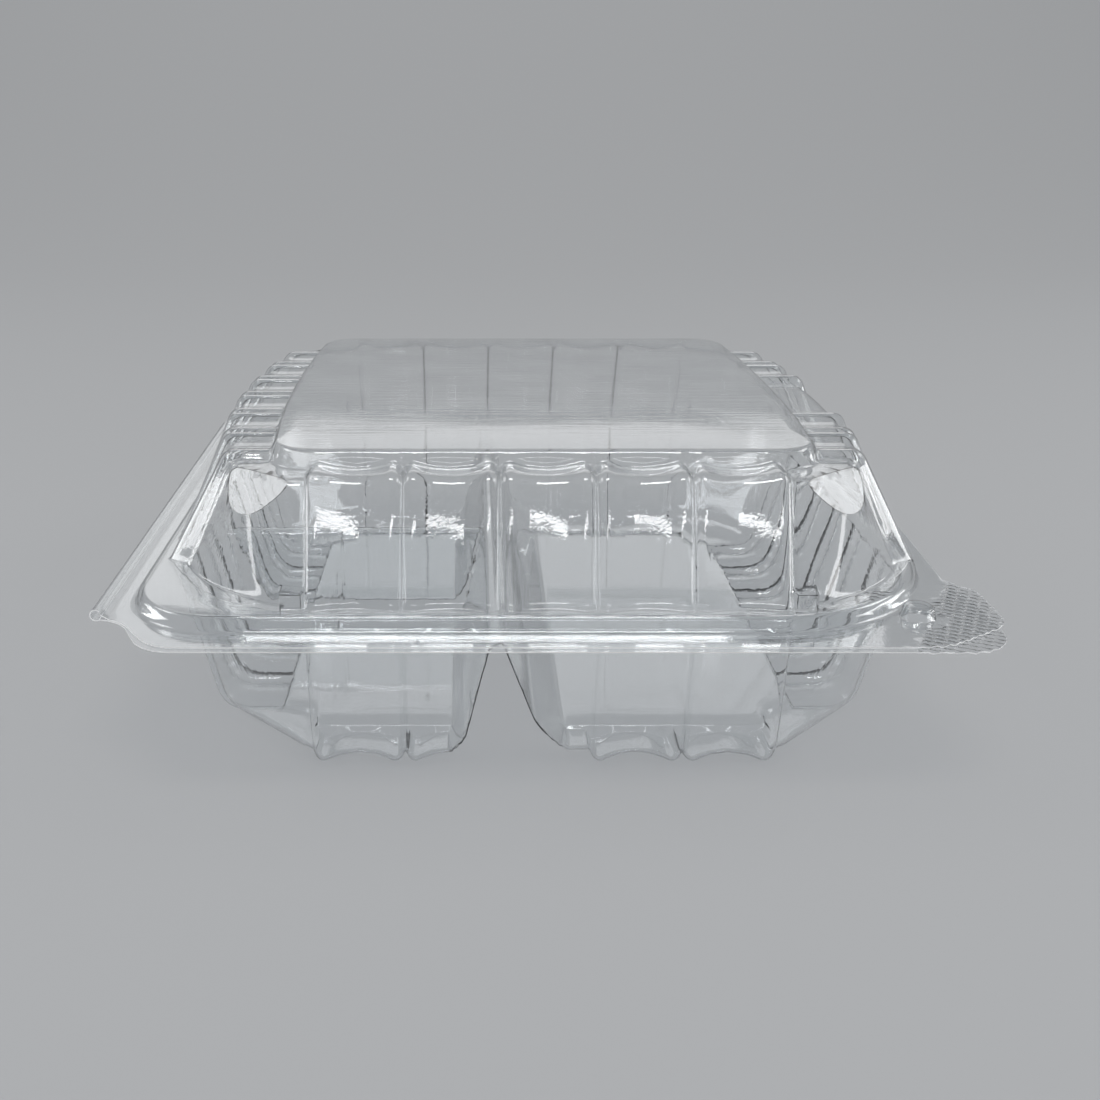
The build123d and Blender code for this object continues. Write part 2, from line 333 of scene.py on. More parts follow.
def noise(tree, vector, scale, detail):
    """A noise texture at so many features a metre."""
    node = tree.nodes.new("ShaderNodeTexNoise")
    node.inputs["Scale"].default_value = scale
    node.inputs["Detail"].default_value = detail
    tree.links.new(vector, node.inputs["Vector"])
    return node.outputs["Fac"]


def sheet_relief():
    """A node group with the ripple, draw lines, grain and dust of formed sheet, as one height."""
    group = bpy.data.node_groups.new("formed_sheet_relief", "ShaderNodeTree")
    for name in ("Ripple", "Draw", "Grain", "Dust"):
        group.interface.new_socket(name, in_out="INPUT", socket_type="NodeSocketFloat")
    group.interface.new_socket("Height", in_out="OUTPUT", socket_type="NodeSocketFloat")
    ins = group.nodes.new("NodeGroupInput")
    outs = group.nodes.new("NodeGroupOutput")
    place = group.nodes.new("ShaderNodeTexCoord").outputs["Object"]
    stretch = group.nodes.new("ShaderNodeMapping")
    stretch.inputs["Scale"].default_value = DRAW_STRETCH
    group.links.new(place, stretch.inputs["Vector"])
    ripple = noise(group, place, RIPPLE_SCALE, 0)
    lines = noise(group, stretch.outputs["Vector"], 1, 1)
    grain = noise(group, place, GRAIN_SCALE, 1)
    height = weighted(group, ripple, ins.outputs["Ripple"])
    height = weighted(group, lines, ins.outputs["Draw"], height)
    height = weighted(group, grain, ins.outputs["Grain"], height)
    specks = group.nodes.new("ShaderNodeTexVoronoi")
    specks.inputs["Scale"].default_value = DUST_SCALE
    group.links.new(place, specks.inputs["Vector"])
    small = group.nodes.new("ShaderNodeMath")
    small.operation = "LESS_THAN"
    small.inputs[1].default_value = DUST_SIZE
    group.links.new(specks.outputs["Distance"], small.inputs[0])
    height = weighted(group, small.outputs["Value"], ins.outputs["Dust"], height)
    group.links.new(height, outs.inputs["Height"])
    return group


relief = sheet_relief()
print("relief inputs", [s.name for s in relief.interface.items_tree if s.in_out == "INPUT"])

# %% Clear wall and cut edge
PET_INDEX = 1.575
PASSED_LIGHT = (0.9, 0.91, 0.92, 1)


def pass_through(nodes, links, shader, ray, kind):
    """Mixes a shader with a plain see-through one for one kind of ray."""
    through = nodes.new("ShaderNodeBsdfTransparent")
    through.inputs["Color"].default_value = PASSED_LIGHT
    mix = nodes.new("ShaderNodeMixShader")
    links.new(ray.outputs[kind], mix.inputs["Fac"])
    links.new(shader, mix.inputs[1])
    links.new(through.outputs["BSDF"], mix.inputs[2])
    return mix.outputs["Shader"]


def clear_finish(name, tint, roughness, clearness, painted_glow, unevenness):
    """Sheet that is clear by a share, has a painted glow by a share and lets lamps shine through.
    """
    material = bpy.data.materials.new(name)
    material.use_nodes = True
    nodes, links = material.node_tree.nodes, material.node_tree.links
    shader = nodes["Principled BSDF"]
    shader.inputs["Base Color"].default_value = (*tint, 1)
    shader.inputs["Roughness"].default_value = roughness
    shader.inputs["IOR"].default_value = PET_INDEX
    shader.inputs["Transmission Weight"].default_value = clearness
    # Emission is a painted glow: the sheet shines white here without a lamp.
    shader.inputs["Emission Color"].default_value = (1, 1, 1, 1)
    shader.inputs["Emission Strength"].default_value = painted_glow
    surface = nodes.new("ShaderNodeGroup")
    surface.node_tree = relief
    for socket, amount in unevenness.items():
        surface.inputs[socket].default_value = amount
    bump = nodes.new("ShaderNodeBump")
    bump.inputs["Strength"].default_value = 1
    bump.inputs["Distance"].default_value = MM
    links.new(surface.outputs["Height"], bump.inputs["Height"])
    links.new(bump.outputs["Normal"], shader.inputs["Normal"])
    ray = nodes.new("ShaderNodeLightPath")
    seen = pass_through(nodes, links, shader.outputs["BSDF"], ray, "Is Diffuse Ray")
    seen = pass_through(nodes, links, seen, ray, "Is Shadow Ray")
    links.new(seen, nodes["Material Output"].inputs["Surface"])
    return material


wall_relief = {"Ripple": 0.04, "Draw": 0.008, "Grain": 0.0035, "Dust": 0.05}
edge_relief = {"Ripple": 0.3, "Draw": 0, "Grain": 0.1, "Dust": 0}
clear_wall = clear_finish("clear_wall", (0.97, 0.98, 0.985), 0, 1, 0, wall_relief)
# The cut edge's emission of 0.3 is a painted glow that makes the rim shine white without a lamp.
cut_edge_painted_glow = clear_finish("cut_edge_painted_glow", (0.95, 0.97, 0.98), 0.5, 0.2, 0.3, edge_relief)
print("finishes", clear_wall.name, cut_edge_painted_glow.name)

# %% [markdown]
# ## The lid
# From its edge inwards the lid is a flat flange with finger tabs, a raised seal ring, a narrow
# platform, the ribbed dome wall, a shelf that the ribs roll over, and the raised panel on top.
# Every one of those edges is a station. The ribs push the stations outwards, so the bands between
# them carry the ribs up the wall, round the shoulder and over the shelf, as on the real pack.

# %% Lid columns and outlines
LUG_COLUMNS = NEAR_HALF + np.array([0.5, 1.2, 2.9, 4.6, 5.3, 5.8, 6.3])
LID_NEAR = np.append(rib_stops(5, NEAR_PITCH, "middle"), LUG_COLUMNS)
LID_SIDE = rib_stops(6, SIDE_PITCH, "notch")[::-1]
CORNER_COLUMNS = 25
LID_EDGE_Y = lid_high.y
LID_TAB_X = lid_high.x - MIDDLE_X
FOLD_X = 104.2
FOLD_START = 102.0
FOLD_LIFT = 0.7
RING_NEAR = 94.8
RING_TAB = 95.9
RING_TAB_CORNER = 45
RING_HINGE = 98.3
RING_HINGE_CORNER = 22


def lid_line(path):
    """One point of a quarter outline for each column of the lid."""
    return on_path(path, LID_NEAR, CORNER_COLUMNS, LID_SIDE)


def flange_paths(edge_y, tab_corners):
    """Tab and hinge quarters of a flange's edge."""
    side = [(99.6, 64.5, 4), (101.4, 30, 60), (102.0, 0, 0)]
    tab = soft_path([(0, edge_y, 0)] + tab_corners + side)
    swing = [(edge_y - 13.6, edge_y, 10), (97.6, 89.5, 6), (FOLD_X, 85.5, 1.5), (FOLD_X, 0, 0)]
    hinge = soft_path([(0, edge_y, 0)] + swing)
    return tab, hinge


def ring_paths(inset):
    """Tab and hinge quarters of the seal ring's edge."""
    y = RING_NEAR - inset
    quarters = []
    for side, corner in ((RING_TAB, RING_TAB_CORNER), (RING_HINGE, RING_HINGE_CORNER)):
        x = side - inset
        quarters.append(soft_path([(0, y, 0), (x, y, corner - inset), (x, 0, 0)]))
    return quarters


def level(points, z):
    """Points of a flat outline at one height, or at one height per column."""
    return np.column_stack([points, np.broadcast_to(z, len(points))])


def station(paths, z, line):
    """A closed station from a tab quarter and a hinge quarter."""
    return whole(level(line(paths[0]), z), level(line(paths[1]), z))


def flange_stations(paths, face, lift, ring_foot, line):
    """A flange's edge, lifted beside the hinge fold, and the crease from which it lies flat."""
    tab, hinge = (line(path) for path in paths)
    share = np.clip((hinge[:, 0] - FOLD_START) / (FOLD_X - FOLD_START), 0, 1)
    edge = whole(level(tab, face), level(hinge, face + lift * share**2))
    crease = edge + (ring_foot - edge) * 0.35
    crease[:, 2] = face
    return [(edge, 0, 3), (crease, 0.6, 4)]


print("lid columns", 4 * (len(LID_NEAR) + CORNER_COLUMNS + len(LID_SIDE) - 1))

# %% Lid stations
DOME_FOOT = dict(half_x=93.2, half_y=89.1, bow=4.1, corner=42)
DOME_TOP = dict(half_x=82.4, half_y=77.0, bow=10.6, corner=6)
PANEL_FOOT = dict(half_x=69.0, half_y=68.8, bow=3.4, corner=9)
PANEL_TOP = dict(half_x=67.7, half_y=67.5, bow=3.4, corner=9)
LUG_TOP = 46.4
LUG_FRONT = 90.0
LUG_START = NEAR_HALF + 0.4
LUG_END = NEAR_HALF + 5.5


def rib_lift(columns_near, columns_side, near_pitch, near_shift, gap_near, gap_side):
    """Rib height for every column of a quarter, none in the corner or in the gaps left plain."""
    near = rib_height(columns_near + near_shift, near_pitch)
    near[(columns_near > NEAR_HALF + 0.01) | (columns_near < gap_near)] = 0
    side = rib_height(columns_side, SIDE_PITCH)
    side[(columns_side > SIDE_HALF + 0.01) | (columns_side < gap_side)] = 0
    return near, side


def ribbed_quarter(outline, z, lift, near_out, side_out, rise):
    """A quarter of a bowed outline pushed outwards and upwards by the ribs on it."""
    points = lid_line(bowed_path(**outline))
    near, side = lift
    n = len(near)
    flat_near = np.full(n, outline["half_y"])
    flat_side = outline["half_x"] - bow_depth(outline["half_y"], outline["bow"], LID_SIDE)
    points[:n, 1] = np.where(near > 0, flat_near + near * near_out, points[:n, 1])
    points[-len(side):, 0] = np.where(side > 0, flat_side + side * side_out, points[-len(side):, 0])
    heights = np.full(len(points), float(z))
    heights[:n] += near * rise
    heights[-len(side):] += side * rise
    return level(points, heights)


def with_lugs(quarter):
    """Brings the wall beside the ribs forward to the lug's flat front."""
    inside = (LID_NEAR > LUG_START) & (LID_NEAR < LUG_END)
    moved = quarter.copy()
    moved[: len(LID_NEAR), 1][inside] = LUG_FRONT
    return moved


def lid_stations():
    """The lid's stations from the flange's edge to the line down the middle of its panel."""
    tab_lift = rib_lift(LID_NEAR, LID_SIDE, NEAR_PITCH, NEAR_PITCH / 2, 0, SIDE_PITCH - 0.01)
    hinge_lift = rib_lift(LID_NEAR, LID_SIDE, NEAR_PITCH, NEAR_PITCH / 2, 0, 0)
    lean = math.atan2(DOME_FOOT["half_y"] - DOME_TOP["half_y"], SHELF - RING_TOP)
    foot_out = 1 / math.cos(lean)
    shoulder_out = (1 - math.sin(lean)) / math.cos(lean)
    lid_tab = [(87.3, LID_EDGE_Y, 12), (LID_TAB_X, 90.4, 8), (LID_TAB_X, 70.5, 3)]
    lifts = (tab_lift, hinge_lift)
    feet = [ribbed_quarter(DOME_FOOT, RING_TOP, k, foot_out, foot_out, 0) for k in lifts]
    tops = [ribbed_quarter(DOME_TOP, SHELF, k, shoulder_out, shoulder_out, 1) for k in lifts]
    panel = [ribbed_quarter(PANEL_FOOT, SHELF, k, 0, 0, 1) for k in lifts]
    share = (LUG_TOP - RING_TOP) / (SHELF - RING_TOP)
    walls = [foot + (top - foot) * share for foot, top in zip(feet, tops)]
    lugged_feet = [with_lugs(foot) for foot in feet]
    lugged_walls = [with_lugs(wall) for wall in walls]
    above = [foot + (top - foot) * (share + 0.02) for foot, top in zip(feet, tops)]
    panel_top = bowed_path(**PANEL_TOP)
    rim = station((panel_top, panel_top), PACK_TOP, lid_line)
    spine = rim * (0.75, 0, 1) + (0.25 * MIDDLE_X, 0, 0)
    ring_foot = station(ring_paths(0), LID_FACE, lid_line)
    edge = flange_paths(LID_EDGE_Y, lid_tab)
    flange = flange_stations(edge, LID_FACE, FOLD_LIFT, ring_foot, lid_line)
    return flange + [
        (ring_foot, 0.9, 2),
        (station(ring_paths(1.4), RING_TOP, lid_line), 1.0, 2),
        (whole(*lugged_feet), 0.5, 2),
        (whole(*lugged_walls), 0, 1),
        (whole(*above), 0, 6),
        (whole(*tops), 2.6, 3),
        (whole(*panel), 0.7, 2),
        (rim, 1.3, 5),
        (spine, 0, 1),
    ]


lid_rows = rows_between(lid_stations())
lid_mesh = shell_mesh(lid_rows)
print("lid rows", lid_rows.shape)

# %% [markdown]
# The dome's four corners are cut off flat. A plane leans across each corner, bisect_plane gives the
# mesh a clean crease along it, and the points beyond the plane are laid flat on it. A boolean cut
# would do the same, but would leave the corner without the quads that follow the wall.

# %% Corner facets
FACET_NEAR = (58.8, 76.9)
FACET_SIDE = (75.4, 64.2)
FACET_TILT = math.radians(43)
CORNER_START = 50


def cut_facet(bm, turn_x, turn_y):
    """Lays one corner of the dome flat on a leaning plane, with a crisp crease round it."""
    def in_corner(face):
        place = face.calc_center_median()
        beside = place.x * turn_x > CORNER_START and place.y * turn_y > CORNER_START
        return beside and RING_TOP + 1 < place.z < SHELF + 2.5

    near = np.array([MIDDLE_X + turn_x * FACET_NEAR[0], turn_y * FACET_NEAR[1], SHELF])
    along = np.array([FACET_SIDE[0] - FACET_NEAR[0], FACET_SIDE[1] - FACET_NEAR[1]])
    along = along / np.linalg.norm(along)
    normal = np.array([turn_x * abs(along[1]), turn_y * abs(along[0]), 0]) * math.cos(FACET_TILT)
    normal = normal + np.array([0, 0, math.sin(FACET_TILT)])
    region = [f for f in bm.faces if in_corner(f)]
    parts = dict.fromkeys(part for f in region for part in (f, *f.edges, *f.verts))
    cut = bmesh.ops.bisect_plane(bm, geom=list(parts), dist=0.01, plane_co=near, plane_no=normal)
    faces = [g for g in cut["geom"] if isinstance(g, bmesh.types.BMFace)]
    corner = dict.fromkeys(v for f in faces for v in f.verts)
    for crease in (g for g in cut["geom_cut"] if isinstance(g, bmesh.types.BMEdge)):
        crease.smooth = False
    moved = 0
    for vert in corner:
        over = (np.array(vert.co) - near) @ normal
        if over > 0.005:
            vert.co = np.array(vert.co) - normal * over
            moved += 1
    return moved


for turn_x in (-1, 1):
    for turn_y in (-1, 1):
        print("facet", turn_x, turn_y, "points laid flat", cut_facet(lid_mesh, turn_x, turn_y))

# %% [markdown]
# ## Lock buttons
# At each tab corner a button on the lid snaps over a smaller one on the tray. The sheet runs
# through both without a seam. So the flat faces of the flange are taken out there, the button is
# made by spinning its section round its own axis, and triangle_fill closes the flat gap round its
# foot.

# %% Lock buttons of the lid
BUTTON_X = 86.6
BUTTON_Y = 85.6
BUTTON_FOOT = 0.2
BUTTON_STEPS = 36


def away_from_button(place):
    """Distance of a point from the axis of the nearest lock button, seen from above."""
    return math.hypot(place.x - BUTTON_X, abs(place.y) - BUTTON_Y)


def touches_button(face, reach):
    """Whether any mark on a face lies within reach of a lock button's axis."""
    marks = [face.calc_center_median()] + [v.co for v in face.verts]
    marks += [(e.verts[0].co + e.verts[1].co) / 2 for e in face.edges]
    return min(away_from_button(mark) for mark in marks) < reach


def raise_button(bm, turn_y, height, radius, rise):
    """Opens the flange for one lock button and fills it round a button spun from its section."""
    near = [f for f in bm.faces if f.calc_center_median().y * turn_y > 0]
    near = [f for f in near if touches_button(f, radius + 0.7)]
    flat = [f for f in near if all(abs(v.co.z - height) < 0.001 for v in f.verts)]
    bmesh.ops.delete(bm, geom=flat, context="FACES")
    hole = [e for e in bm.edges if e.is_boundary and e.verts[0].co.y * turn_y > 0]
    hole = [e for e in hole if max(away_from_button(v.co) for v in e.verts) < radius + 7]
    shape = [(radius + BUTTON_FOOT, 0), (radius, 0.25), (radius - 0.3, rise - 0.8)]
    shape += [(radius - 0.5, rise - 0.35), (radius - 0.95, rise - 0.06)]
    shape += [(radius - 1.6, rise), (0.01, rise)]
    verts = [bm.verts.new((BUTTON_X + out, turn_y * BUTTON_Y, height + up)) for out, up in shape]
    edges = [bm.edges.new(pair) for pair in zip(verts, verts[1:])]
    axis_foot = (BUTTON_X, turn_y * BUTTON_Y, height)
    bmesh.ops.spin(
        bm, geom=verts + edges, cent=axis_foot, axis=(0, 0, 1),
        angle=2 * math.pi, steps=BUTTON_STEPS, use_merge=True,
    )
    spun = [v for v in bm.verts if v.co.y * turn_y > 0 and away_from_button(v.co) < radius]
    bmesh.ops.remove_doubles(bm, verts=spun, dist=0.03)
    def on_foot(vert):
        return abs(away_from_button(vert.co) - radius - BUTTON_FOOT) < 0.01

    foot = [e for e in bm.edges if e.is_boundary and e.verts[0].co.y * turn_y > 0]
    foot = [e for e in foot if all(on_foot(v) for v in e.verts)]
    fill = bmesh.ops.triangle_fill(bm, use_beauty=True, edges=hole + foot, normal=(0, 0, 1))
    return len(hole), len(foot), len([g for g in fill["geom"] if isinstance(g, bmesh.types.BMFace)])


for turn_y in (-1, 1):
    print("lid button", turn_y, raise_button(lid_mesh, turn_y, LID_FACE, 3.9, 3.0))

# %% [markdown]
# ## Knurled finger tabs
# Fine ridges on both tabs, cut across by wider spaced grooves, give fingers a grip. A bump texture
# would stay flat along the tab's edge, so the flange's faces are divided finely there and the new
# points are lifted. The lid's ridges point up and the tray's down, so the tabs still lie flush.

# %% Knurl of the lid
KNURL_TURN = math.radians(25)
KNURL_PITCH = 2.0
KNURL_CROSS = 2.6
KNURL_DEPTH = 0.38
KNURL_BORDER = 134.2
KNURL_SLANT = 0.52
KNURL_FADE = 1.2
TAB_START = 63.0
BUTTON_HELD = 5.2
BUTTON_CLEAR = 6
BUTTON_FADE = 2
NEAR_BUTTON = 12


def on_tab(place):
    """How far a point lies inside the knurled part of a finger tab."""
    return min(place.x + KNURL_SLANT * abs(place.y) - KNURL_BORDER, abs(place.y) - TAB_START)


def on_ring_patch(place):
    """How far a point lies inside the small knurled patch on the ring."""
    return min(place.x - 75, 86 - place.x, abs(place.y) - 79, 87.5 - abs(place.y))


def knurl_height(place):
    """Height of the ridges at a point: a zigzag across them, cut down in the cross grooves."""
    x, y = place.x - MIDDLE_X, abs(place.y)
    along = x * math.cos(KNURL_TURN) + y * math.sin(KNURL_TURN)
    across = y * math.cos(KNURL_TURN) - x * math.sin(KNURL_TURN)
    ridge = 1 - 2 * abs(across / KNURL_PITCH % 1 - 0.5)
    groove = min(1, 4 * abs(along / KNURL_CROSS % 1 - 0.5))
    return KNURL_DEPTH * ridge * (0.1 + 0.9 * groove)


def press_knurl(bm, depth_inside, height, turn, cuts):
    """Divides the flat faces in a zone finely and presses ridges into them, up or down."""
    def inside(place):
        return depth_inside(place) > 0 and abs(place.z - height) < 0.01

    near = [f for f in bm.faces if away_from_button(f.calc_center_median()) < NEAR_BUTTON]
    held = [f for f in near if touches_button(f, BUTTON_HELD)]
    faces = [f for f in bm.faces if inside(f.calc_center_median()) and f not in held]
    edges = list(dict.fromkeys(e for f in faces for e in f.edges))
    bmesh.ops.subdivide_edges(bm, edges=edges, cuts=cuts, use_grid_fill=True)
    near = [f for f in bm.faces if away_from_button(f.calc_center_median()) < NEAR_BUTTON]
    still = {v for f in near if touches_button(f, BUTTON_HELD) for v in f.verts}
    raised = [v for v in bm.verts if v not in still and inside(v.co)]
    for vert in raised:
        clear = max(0, away_from_button(vert.co) - BUTTON_CLEAR) / BUTTON_FADE
        share = min(1, clear, depth_inside(vert.co) / KNURL_FADE)
        vert.co.z += turn * knurl_height(vert.co) * share
    return len(raised)


print("knurled points on the lid", press_knurl(lid_mesh, on_tab, LID_FACE, 1, 6))
print("on its ring", press_knurl(lid_mesh, on_ring_patch, RING_TOP, 1, 6))

# %% Lid piece
face_outwards(lid_mesh, True)
lid_piece = finish_piece("lid_shell", lid_mesh, [clear_wall, cut_edge_painted_glow], "cover")
give_sheet(lid_piece)
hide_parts("lid")

# %% [markdown]
# ## The tray
# The tray hangs from its own flange and ring. Its walls are ribbed too, and the ribs run round the
# bottom edge and under the floor as feet. Two hollow ridges part it into three compartments. Formed
# sheet has no undercuts, so a ridge is made by lifting every point of the floor and walls that lies
# below the ridge's roof, which also opens the notch that shows in the near wall.

# %% Tray columns and ridges
RIDGE_X = -11.2
RIDGE_TOP = 34.0
CROSS_TOP = 29.8
TRAY_EDGE_Y = tray_high.y
TRAY_TAB_X = tray_high.x - MIDDLE_X
TRAY_NEAR = np.unique(np.round(np.concatenate([
    np.arange(0, 11.2, 0.9),
    NEAR_PITCH / 2 + rib_stops(4, NEAR_PITCH, "notch"),
    np.arange(11.2, 27, 1.1),
]), 2))
TRAY_SIDE = rib_stops(6, SIDE_PITCH, "notch")[::-1]


def tray_line(path):
    """One point of a quarter outline for each column of the tray."""
    return on_path(path, TRAY_NEAR, CORNER_COLUMNS, TRAY_SIDE)


def roof_height(across, corners):
    """Height of a ridge's roof at a distance across it, from a soft section."""
    path = soft_path(corners)
    return np.interp(across, path[:, 0], path[:, 1], left=NO_ROOF, right=NO_ROOF)


MAIN_ROOF = [
    (-14.5, -3, 0), (-7.1, 8.2, 5), (-1.5, RIDGE_TOP, 1.4),
    (1.5, RIDGE_TOP, 1.4), (9.6, 12, 12), (23, -3, 0),
]
CROSS_ROOF = [
    (-12.5, -3, 0), (-7.5, 6, 6), (-2.4, CROSS_TOP, 2.2),
    (2.4, CROSS_TOP, 2.2), (7.5, 6, 6), (12.5, -3, 0),
]
NO_ROOF = -9


def lift_ridges(rows):
    """Lifts the points that lie below the two ridges onto their roofs."""
    main = roof_height(rows[..., 0] - RIDGE_X, MAIN_ROOF)
    cross = np.where(rows[..., 0] < RIDGE_X, roof_height(rows[..., 1], CROSS_ROOF), NO_ROOF)
    lifted = rows.copy()
    lifted[..., 2] = np.maximum(rows[..., 2], np.maximum(main, cross))
    return lifted


print("tray columns", 4 * (len(TRAY_NEAR) + CORNER_COLUMNS + len(TRAY_SIDE) - 1))

# %% Tray stations
WALL_TOP = RING_TOP - 0.9
TRAY_TOP = dict(half_x=91.6, half_y=91.0, bow=1.0, corner=40)
RIB_TOP = 38.0
FOOT_RUN = 14.0
FLOOR_STEP = 0.9
TRAY_RIB_GAIN = 1.12
SPINE_HALF = 48
TRAY_FLOOR = [(0, 86.6, 0), (57, 86.6, 10), (81, 62.6, 10), (81, 0, 0)]


def tray_quarter(share, inset, lift, near_out, side_out, drop):
    """A quarter of the tray at a share of its depth, set in from the wall, with ribs pushed out."""
    top = tray_line(bowed_path(**TRAY_TOP))
    low = tray_line(soft_path(TRAY_FLOOR))
    near, side = lift
    points = top + (low - top) * share
    n, m = len(near), len(side)
    points[:n, 1] += near * near_out
    points[-m:, 0] += side * side_out
    points[:n, 1] -= inset
    points[-m:, 0] -= inset
    turn = np.linspace(0, math.pi / 2, len(points) - n - m + 2)[1:-1]
    points[n:-m] -= inset * np.column_stack([np.sin(turn), np.cos(turn)])
    heights = WALL_TOP + (FLOOR - WALL_TOP) * share + np.zeros(len(points))
    heights[:n] -= near * drop
    heights[-m:] -= side * drop
    return level(points, heights)


def tray_stations():
    """The tray's stations from the flange's edge to the line down the middle of its floor."""
    half = NEAR_PITCH / 2
    near, side = rib_lift(TRAY_NEAR, TRAY_SIDE, NEAR_PITCH, half, half - 0.01, 0)
    lift = (near * TRAY_RIB_GAIN, side * TRAY_RIB_GAIN)
    plain = (near * 0, side * 0)
    tray_tab = [(TRAY_TAB_X, TRAY_EDGE_Y, 11), (TRAY_TAB_X, 76, 4)]
    at_rib = (WALL_TOP - RIB_TOP) / (WALL_TOP - FLOOR)

    def ring_of(*settings):
        quarter = tray_quarter(*settings)
        return whole(quarter, quarter)

    end = ring_of(1, FOOT_RUN + 0.9, plain, 0, 0, 0) + (0, 0, FLOOR_STEP)
    spine_x = end[:, 0] - MIDDLE_X
    far = np.maximum(np.abs(spine_x) - SPINE_HALF, 0)
    drawn_in = np.minimum(np.abs(spine_x), SPINE_HALF) + 0.4 * far
    spine = end.copy()
    spine[:, 0] = MIDDLE_X + np.sign(spine_x) * drawn_in
    spine[:, 1] = 0
    beside = spine + (end - spine) * 0.2
    ring_foot = station(ring_paths(0.9), TRAY_FACE, tray_line)
    edge = flange_paths(TRAY_EDGE_Y, tray_tab)
    flange = flange_stations(edge, TRAY_FACE, -FOLD_LIFT, ring_foot, tray_line)
    return flange + [
        (ring_foot, 0.9, 2),
        (station(ring_paths(2.3), WALL_TOP, tray_line), 0.5, 2),
        (ring_of(0, 0, plain, 0, 0, 0), 0.5, 2),
        (ring_of(at_rib - 0.012, 0, plain, 0, 0, 0), 0, 1),
        (ring_of(at_rib + 0.012, 0, lift, 1, 1, 0), 0, 7),
        (ring_of(1, 0, lift, 0.9, 0.77, 1), 7, 2),
        (ring_of(1, FOOT_RUN, lift, 0, 0, 1), 0.3, 1),
        (end, 0.3, 9),
        (beside, 0, 14),
        (spine, 0, 1),
    ]


tray_rows = lift_ridges(rows_between(tray_stations()))
tray_mesh = shell_mesh(tray_rows)
print("tray rows", tray_rows.shape, "lowest", round(float(tray_rows[..., 2].min()), 3))

# %% Tray buttons, knurl and piece
for turn_y in (-1, 1):
    print("tray button", turn_y, raise_button(tray_mesh, turn_y, TRAY_FACE, 3.2, 2.7))
print("knurled points on the tray", press_knurl(tray_mesh, on_tab, TRAY_FACE, -1, 5))
face_outwards(tray_mesh, False)
tray_piece = finish_piece("tray_shell", tray_mesh, [clear_wall, cut_edge_painted_glow], "base")
give_sheet(tray_piece)
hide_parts("tray")

# %% [markdown]
# ## The hinge fold
# Along the hinge the sheet runs out of the tray's flange, round a small open bead and back into the
# lid's flange. The bead is one point spun into an arc and extruded along the hinge. It is not
# attached to either half.

# %% Hinge fold
FOLD_HALF = 84.5
FOLD_STEPS = 28


def fold_mesh():
    """The open bead, from the lid's flange round the hinge line to the tray's flange."""
    start = Vector((MIDDLE_X - FOLD_X, -FOLD_HALF, LID_FACE + FOLD_LIFT))
    rise = start.z - SEAM
    reach = start.x - HINGE_X
    radius = (reach**2 + rise**2) / (2 * reach)
    centre = (HINGE_X + radius, -FOLD_HALF, SEAM)
    opening = math.atan2(rise, start.x - centre[0])
    bm = bmesh.new()
    first = bm.verts.new(start)
    sweep = 2 * (math.pi - opening)
    bmesh.ops.spin(bm, geom=[first], cent=centre, axis=(0, -1, 0), angle=sweep, steps=FOLD_STEPS)
    grown = bmesh.ops.extrude_edge_only(bm, edges=bm.edges[:])["geom"]
    far = [g for g in grown if isinstance(g, bmesh.types.BMVert)]
    bmesh.ops.translate(bm, verts=far, vec=(0, 2 * FOLD_HALF, 0))
    bmesh.ops.recalc_face_normals(bm, faces=bm.faces)
    top = max(bm.faces, key=lambda face: face.calc_center_median().z)
    if top.normal.z < 0:
        bmesh.ops.reverse_faces(bm, faces=bm.faces)
    return bm


fold_piece = finish_piece("hinge_fold", fold_mesh(), [clear_wall, cut_edge_painted_glow])
give_sheet(fold_piece)
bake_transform(fold_piece)

# %% [markdown]
# ## Stage and camera
# A pale floor sweeps up behind the pack without a corner. Clear sheet shows what lies behind it, so
# the floor is kept even: a part of its brightness is a glow that only the camera and the rays
# through the sheet see, and the rest is lamplight, which keeps the pack's shadow. The camera stands
# where the photographer stood: its place was worked out from the pack's own edges.

# %% Stage and camera
FLOOR_REACH = 7.0
SWEEP_START = 0.7
SWEEP_RADIUS = 1.8
BACKDROP_TOP = 3.2
PAPER = (0.24, 0.245, 0.253, 1)
PAPER_GLOW = (0.97, 0.985, 1, 1)
GLOW_STRENGTH = 0.24
IMAGE_WIDTH = 1100
SENSOR_WIDTH = 36
FOCAL_PIXELS = 1243
SHIFT_PIXELS = 84
CAMERA_PLACE = Vector((-18.2, -349.8, 156.2))
CAMERA_PITCH = 20.83


def sweep_floor():
    """A floor that curves up into a backdrop, made by extruding one edge."""
    bm = bmesh.new()
    path = [(-FLOOR_REACH, 0)]
    for turn in np.linspace(0, math.pi / 2, 40):
        along, up = math.sin(turn), 1 - math.cos(turn)
        path.append((SWEEP_START + SWEEP_RADIUS * along, SWEEP_RADIUS * up))
    path.append((SWEEP_START + SWEEP_RADIUS, BACKDROP_TOP))
    first = [bm.verts.new((x, *path[0])) for x in (-FLOOR_REACH, FLOOR_REACH)]
    edge = bm.edges.new(first)
    for (y0, z0), (y1, z1) in zip(path, path[1:]):
        grown = bmesh.ops.extrude_edge_only(bm, edges=[edge])["geom"]
        verts = [g for g in grown if isinstance(g, bmesh.types.BMVert)]
        bmesh.ops.translate(bm, verts=verts, vec=(0, y1 - y0, z1 - z0))
        edges = [g for g in grown if isinstance(g, bmesh.types.BMEdge)]
        edge = next(e for e in edges if all(v in verts for v in e.verts))
    bmesh.ops.recalc_face_normals(bm, faces=bm.faces)
    mesh = bpy.data.meshes.new("floor")
    bm.to_mesh(mesh)
    bm.free()
    mesh.shade_smooth()
    floor = bpy.data.objects.new("floor", mesh)
    bpy.context.scene.collection.objects.link(floor)
    mesh.materials.append(pale_paper())
    return floor


